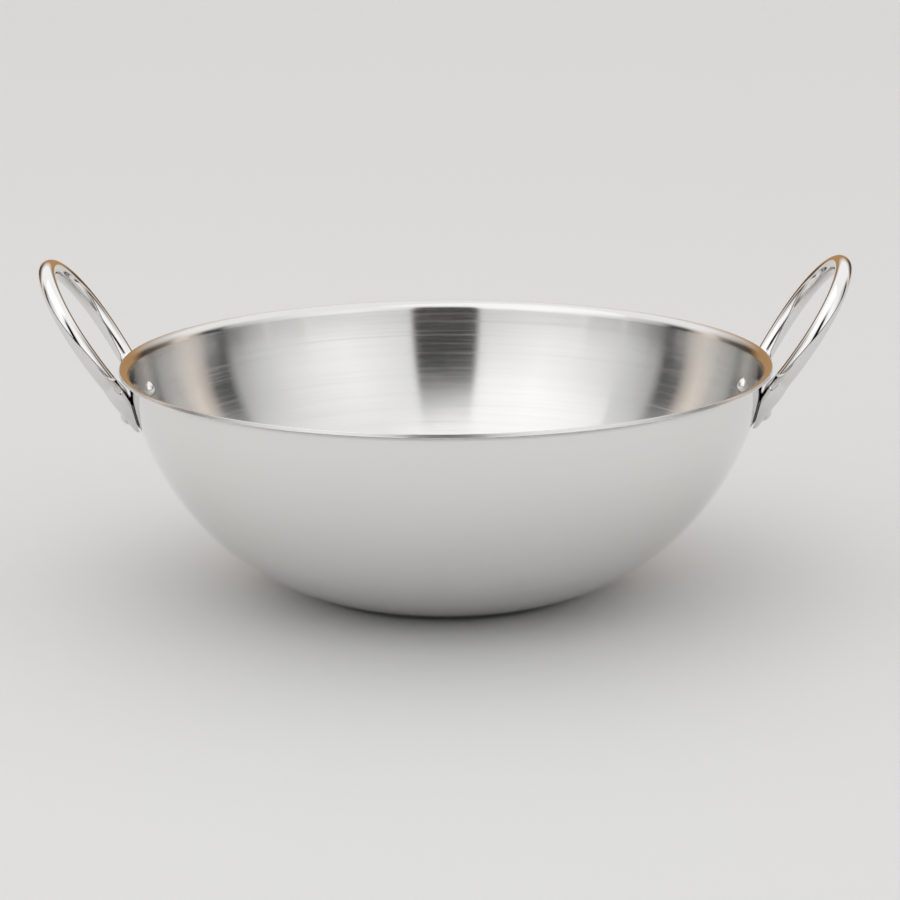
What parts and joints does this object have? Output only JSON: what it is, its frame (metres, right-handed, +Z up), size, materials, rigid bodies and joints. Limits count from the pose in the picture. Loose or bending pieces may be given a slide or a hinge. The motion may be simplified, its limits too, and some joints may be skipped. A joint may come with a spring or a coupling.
{
  "type": "kadai",
  "caption": "Deep round cooking bowl with a small flat base, a flared lip and an upright loop handle riveted at each side, for frying and simmering on a stove.",
  "frame": {"origin": "centre of the base's underside, on the bowl's axis", "axes": "+Z up along the bowl's axis; the handles stand on the X axis, the right one at +X; +Y away from the viewer"},
  "size_m": [0.3758, 0.3038, 0.156],
  "materials": {
    "polished_steel": "mirror-polished stainless steel",
    "core_aluminium": "plain rolled aluminium, seen only at the lip's cut edge",
    "satin_steel": "satin stainless steel, brushed around the bowl",
    "polished_rod": "mirror-polished stainless steel rod",
    "rivet_steel": "polished stainless steel"
  },
  "bodies": {
    "root": {"outer_skin": "polished_steel", "core": "core_aluminium", "inner_skin": "satin_steel", "handle_left": "polished_rod", "handle_right": "polished_rod", "rivet_left_front": "rivet_steel", "rivet_left_back": "rivet_steel", "rivet_right_front": "rivet_steel", "rivet_right_back": "rivet_steel"}
  },
  "joints": []
}
